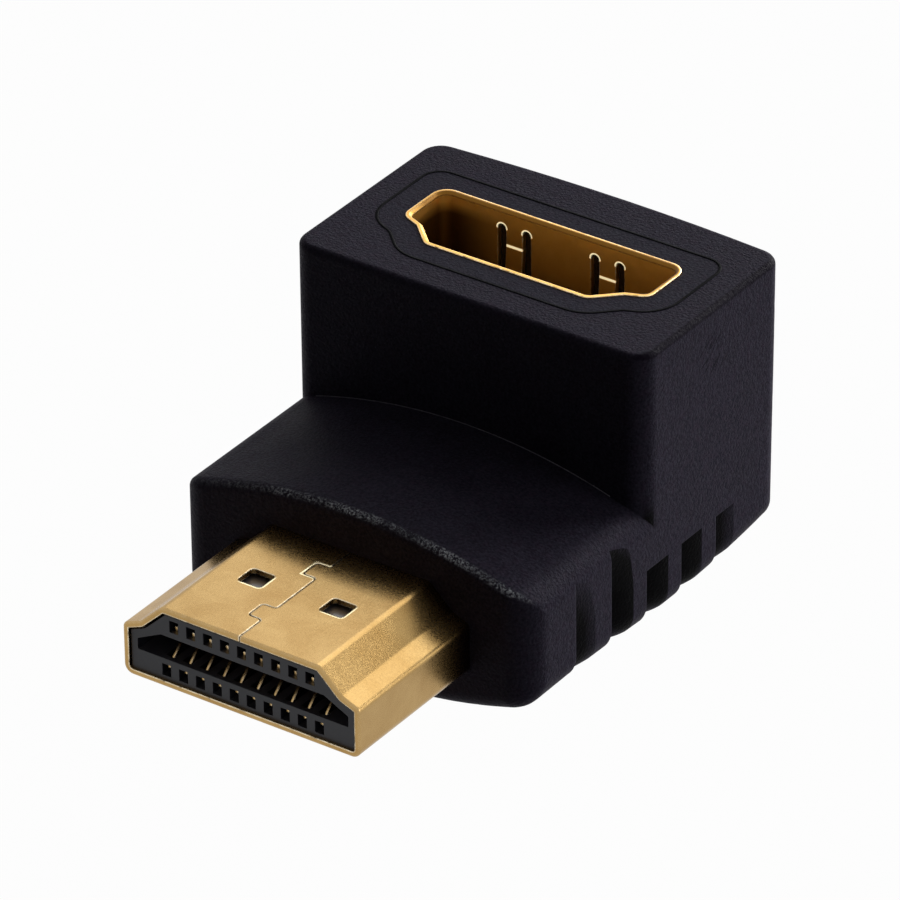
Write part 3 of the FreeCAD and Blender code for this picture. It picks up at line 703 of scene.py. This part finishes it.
# %% Rows of contacts
contact_pitch = 1.0 * mm
strip_width = 0.3 * mm
strip_thickness = 0.16 * mm
bend_radius = 0.3 * mm
contact_middle = 2.145
row_offset = 1.29
strip_groove = 0.33
strip_clearance = 0.08
end_lift = 0.06
bump_offset = 0.33
pad_offset = 0.48
end_from, end_to = 0.36, 0.6
bump_at = 1.4
rest_from, rest_to = 5.4, 11.25
pad_from, pad_to = 11.82, 13.95
tongue_half = 0.45
board_run = 3.2
tongue_bottom = 2.625
tongue_top = 9.1


def contact_line(pairs):
    """Line of (y, z) pairs, in millimetres from the plug's tip, put where the piece is."""
    return [(tip.x * mm, (tip.y + y) * mm, (tip.z + z) * mm) for y, z in pairs]


def plug_line(side):
    """Spring strip of the plug: end, bump, straight run and tail."""
    end = contact_middle + side * (row_offset - strip_groove + end_lift + strip_clearance)
    bump = contact_middle + side * bump_offset
    rest = contact_middle + side * (row_offset + strip_groove - strip_clearance)
    pad = contact_middle + side * pad_offset
    return contact_line([(end_from, end), (end_to, end), (bump_at, bump), (rest_from, rest),
                         (rest_to, rest), (pad_from, pad), (pad_to, pad)])


def socket_line(side):
    """Strip of the socket, down the tongue and out along the board."""
    face = socket_from_tip + side * tongue_half
    end = socket_from_tip + side * board_run
    return contact_line([(face, tongue_top), (face, tongue_bottom), (end, tongue_bottom)])


rows = (("plug_contacts_wide", plug_line(-1), 10, "plug_contact", 1),
        ("plug_contacts_narrow", plug_line(1), 9, "plug_contact", 11),
        ("socket_contacts_wide", socket_line(1), 10, "socket_contact", 1),
        ("socket_contacts_narrow", socket_line(-1), 9, "socket_contact", 11))
for name, line, count, stem, first in rows:
    piece = grow(name, line, row_tree, {"Strips": count, "Pitch": contact_pitch, "Width": strip_width,
                                        "Thickness": strip_thickness, "Bend Radius": bend_radius,
                                        "Metal": contact_gold})
    nodes = ["%s_%02d" % (stem, first + i) for i in range(count)]
    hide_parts(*nodes)
    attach(piece, "root")

# %% [markdown]
# Where the two mouldings meet round the socket, a near-black bead lies in the gap as painted shade,
# wider in some places than in others, and where the arm stands on the block a fine line of flash is
# left from the mould, pale grey as a painted highlight. Both are matt plastic, uneven along their length.

# %% Plastic of the moulding lines
def line_plastic(name, colour):
    """Matt plastic of a moulding line, a little uneven."""
    material, tree, shader, place = start_material(name, colour)
    sizes = {"Place": place, "Grain Size": 0.1 * mm}
    skin = put(tree, "ShaderNodeGroup", sizes, node_tree=grain).outputs
    darker = tuple(0.5 * value for value in colour[:3]) + (1.0,)
    base = blend_colours(tree, spread(tree, skin["Grain"], 0.3, 0.7), darker, colour)
    tree.links.new(base, shader.inputs["Base Color"])
    tree.links.new(spread(tree, skin["Patches"], 0.3, 0.7, 0.5, 0.7), shader.inputs["Roughness"])
    shader.inputs["Specular IOR Level"].default_value = 0.02
    return material


# A near-black plastic for the painted shade in the gap, and a pale grey for the painted highlight on the
# flash.
gap_shade_black = line_plastic("painted shade in moulding gap", (0.002, 0.002, 0.003, 1.0))
flash_highlight_grey = line_plastic("moulding flash with painted highlight", (0.42, 0.40, 0.45, 1.0))
print(gap_shade_black.name, "and", flash_highlight_grey.name)

# %% [markdown]
# Gap and flash both follow a line, so one tree makes them. It rounds each corner of the line by a
# radius that the line carries at its points, divides it evenly, gives it a low section, and lets noise
# change its width along the way.

# %% Tree for a moulding line
def make_line_tree():
    """A line becomes a low bead whose width wanders."""
    tree, given, give = start_tree(
        "moulding line",
        [("Width", number, 0.1 * mm), ("Height", number, 0.03 * mm), ("Thinnest", number, 0.4),
         ("Wander", number, 160.0)],
        "Plastic", "Bead")
    line = put(tree, "GeometryNodeMeshToCurve", {"Mesh": given["Line"]})
    corner = put(tree, "GeometryNodeInputNamedAttribute", {"Name": "corner"}, data_type="FLOAT")
    bent = put(tree, "GeometryNodeFilletCurve", {"Curve": line.outputs[0], "Radius": corner.outputs[0],
                                                 "Count": 9}, mode="POLY")
    even = put(tree, "GeometryNodeResampleCurve", {"Curve": bent.outputs[0], "Length": 0.25 * mm},
               mode="LENGTH")
    wander = put(tree, "ShaderNodeTexNoise", {"Scale": given["Wander"], "Detail": 1.0}).outputs[0]
    spare = calculate(tree, "SUBTRACT", 1.0, given["Thinnest"])
    share = calculate(tree, "MULTIPLY_ADD", spread(tree, wander, 0.42, 0.58), spare, given["Thinnest"])
    sized = put(tree, "GeometryNodeSetCurveRadius", {"Curve": even.outputs[0], "Radius": share})
    section = put(tree, "GeometryNodeCurvePrimitiveQuadrilateral", {"Width": given["Width"],
                                                                    "Height": given["Height"]})
    bead = put(tree, "GeometryNodeCurveToMesh", {"Curve": sized.outputs[0], "Fill Caps": True,
                                                 "Profile Curve": section.outputs[0]})
    real = put(tree, "GeometryNodeRealizeInstances", {"Geometry": bead.outputs[0]})
    done = put(tree, "GeometryNodeSetMaterial", {"Geometry": real.outputs[0],
                                                 "Material": given["Plastic"]})
    tree.links.new(done.outputs[0], give["Bead"])
    return tree


line_tree = make_line_tree()
print(line_tree.name, "nodes", len(line_tree.nodes))

# %% [markdown]
# The bead of painted shade in the gap runs round the collar on the arm's top face. Its corners are
# given for the right half, with the radius of each, and mirrored. The flash follows the crowned top of
# the block, which is part of a large circle, across the front of the arm.

# %% Painted shade in the gap round the collar, and flash where the arm stands
right_half = [(8.72, 28.845, 1.05), (8.72, 23.077, 2.09), (6.928, 22.36, 0.05), (5.363, 20.855, 2.19)]
collar = right_half + [(-x, y, radius) for x, y, radius in reversed(right_half)]
gap_height = arm_top + 0.002
crown_radius = 30.0
block_top = 6.8
arm_front = 18.845
flash_start = -9.0
flash_step = 0.5
flash_points = 36


def crown_height(x):
    """Height of the crowned block above the plug's underside, x from its middle."""
    return block_top - crown_radius + math.sqrt(crown_radius ** 2 - x ** 2)


gap_line = [((tip.x + x) * mm, (tip.y + y) * mm, (tip.z + gap_height) * mm) for x, y, radius in collar]
flash_line = [((tip.x + x) * mm, (tip.y + arm_front) * mm, (tip.z + crown_height(x)) * mm)
              for x in [flash_step * i + flash_start for i in range(flash_points)]]
# A near-black bead in the gap round the collar: painted shade.
gap = grow("collar_gap_shade", gap_line, line_tree,
           {"Width": 0.16 * mm, "Height": 0.03 * mm, "Thinnest": 0.35, "Wander": 150.0,
            "Plastic": gap_shade_black},
           closed=True, corners=[radius * mm for x, y, radius in collar])
# The flash is a real moulding line; its pale grey is a painted highlight.
flash = grow("arm_foot_flash", flash_line, line_tree,
             {"Width": 0.07 * mm, "Height": 0.07 * mm, "Thinnest": 0.1, "Wander": 420.0,
              "Plastic": flash_highlight_grey})
for piece in (gap, flash):
    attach(piece, "root")

# %% [markdown]
# The studio's floor is pale and matt. To the camera, to reflections and through clear things it is
# nearly white, but it throws little light on the black plastic, and it keeps the object's shadow. The
# Light Path node tells what kind of ray is looking.

# %% Floor
floor_half = 3.0
floor_grey = (0.12, 0.12, 0.12, 1.0)
floor_whitened = 0.98


def looked_at(tree):
    """One for rays from the camera, from reflections and through clear things."""
    rays = put(tree, "ShaderNodeLightPath").outputs
    plain = calculate(tree, "MAXIMUM", rays["Is Camera Ray"], rays["Is Glossy Ray"])
    return calculate(tree, "MAXIMUM", plain, rays["Is Transmission Ray"])


floor_mesh = bpy.data.meshes.new("floor")
floor_mesh.from_pydata([(-floor_half, -floor_half, 0), (floor_half, -floor_half, 0),
                        (floor_half, floor_half, 0), (-floor_half, floor_half, 0)], [], [(0, 1, 2, 3)])
floor = bpy.data.objects.new("floor", floor_mesh)
bpy.context.scene.collection.objects.link(floor)
floor_look = bpy.data.materials.new("pale floor")
floor_look.use_nodes = True
tree = floor_look.node_tree
tree.nodes.remove(tree.nodes["Principled BSDF"])
matt = put(tree, "ShaderNodeBsdfDiffuse", {"Color": floor_grey}).outputs[0]
white = put(tree, "ShaderNodeEmission", {"Color": (1.0, 1.0, 1.0, 1.0), "Strength": 1.0}).outputs[0]
share = product(tree, looked_at(tree), floor_whitened)
whitened = put(tree, "ShaderNodeMixShader", {0: share, 1: matt, 2: white}).outputs[0]
tree.links.new(whitened, tree.nodes["Material Output"].inputs["Surface"])
floor.data.materials.append(floor_look)
print("floor half width in m", floor_half)

# %% [markdown]
# The surround is white in the same way, to rays that look at it, and very dim as a light. With the
# two together the floor fades into the background without an edge.

# %% Surround
surround_seen = 1.0
surround_dim = 0.014
world = bpy.data.worlds.new("surround")
bpy.context.scene.world = world
world.use_nodes = True
tree = world.node_tree
strength = calculate(tree, "MULTIPLY_ADD", looked_at(tree), surround_seen - surround_dim, surround_dim)
tree.nodes["Background"].inputs["Color"].default_value = (1.0, 1.0, 1.0, 1.0)
tree.links.new(strength, tree.nodes["Background"].inputs["Strength"])
print("surround as a light", surround_dim)

# %% [markdown]
# Three soft lamps stand behind the object and to its right, the strongest of them low. The faces
# that look up and to the right are lit, and the fronts stay dark, as in the photograph. None of them
# stands where a flat face of the gold would mirror it into the camera.

# %% Lamps
lamp_aim = (0, 0, 0.008)


def lamp(name, place, size, power):
    """A square soft lamp aimed at the middle of the object."""
    data = bpy.data.lights.new(name, "AREA")
    data.shape = "SQUARE"
    data.size = size
    data.energy = power
    made = bpy.data.objects.new(name, data)
    bpy.context.scene.collection.objects.link(made)
    away = (Vector(place) - Vector(lamp_aim)).normalized()
    made.matrix_world = Matrix.Translation(place) @ away.to_track_quat("Z", "Y").to_matrix().to_4x4()
    print(name, "size", size, "power", power)


lamp("key behind", (0.135, 0.58, 0.08), size=0.4, power=5.2)
lamp("right", (0.56, 0.18, 0.07), size=0.5, power=1.6)
lamp("high behind", (-0.04, 0.52, 0.30), size=0.6, power=1.9)

# %% [markdown]
# Colours are shown as they are written, with no film curve.

# %% Colour setting
bpy.context.scene.view_settings.view_transform = "Standard"
